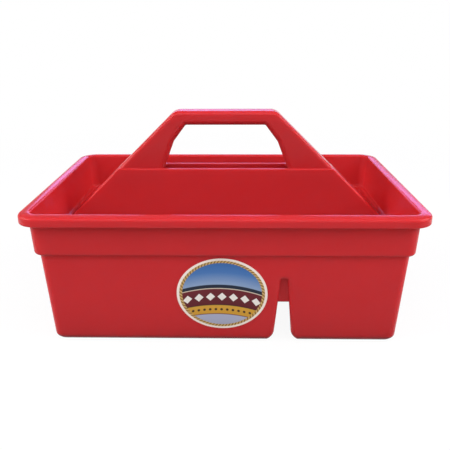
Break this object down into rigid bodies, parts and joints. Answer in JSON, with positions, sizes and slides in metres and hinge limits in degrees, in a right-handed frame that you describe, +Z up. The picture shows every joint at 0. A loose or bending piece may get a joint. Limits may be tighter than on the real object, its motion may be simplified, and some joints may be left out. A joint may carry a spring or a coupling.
{
  "type": "grooming tote",
  "caption": "Open carrying tote for horse grooming tools: a moulded tub with a long well and two short wells, a hollow divider with a hand hole and grip, and a rolled rim.",
  "frame": {"origin": "centre of the base, on the surface the tote stands on", "axes": "+X along the tote to the right seen from its front, +Y to its back, +Z up"},
  "size_m": [0.4124, 0.2804, 0.2312],
  "materials": {
    "red_plastic": "semi-gloss moulded polyethylene",
    "label_vinyl": "printed vinyl sticker"
  },
  "bodies": {
    "root": {"rim": "red_plastic", "shoulder_band": "red_plastic", "back_well": "red_plastic", "front_left_well": "red_plastic", "front_right_well": "red_plastic", "tunnel_bridge": "red_plastic", "divider_front_wall": "red_plastic", "divider_back_wall": "red_plastic", "left_ramp": "red_plastic", "right_ramp": "red_plastic", "left_handle_leg": "red_plastic", "right_handle_leg": "red_plastic", "grip": "red_plastic", "label": "label_vinyl"}
  },
  "joints": []
}
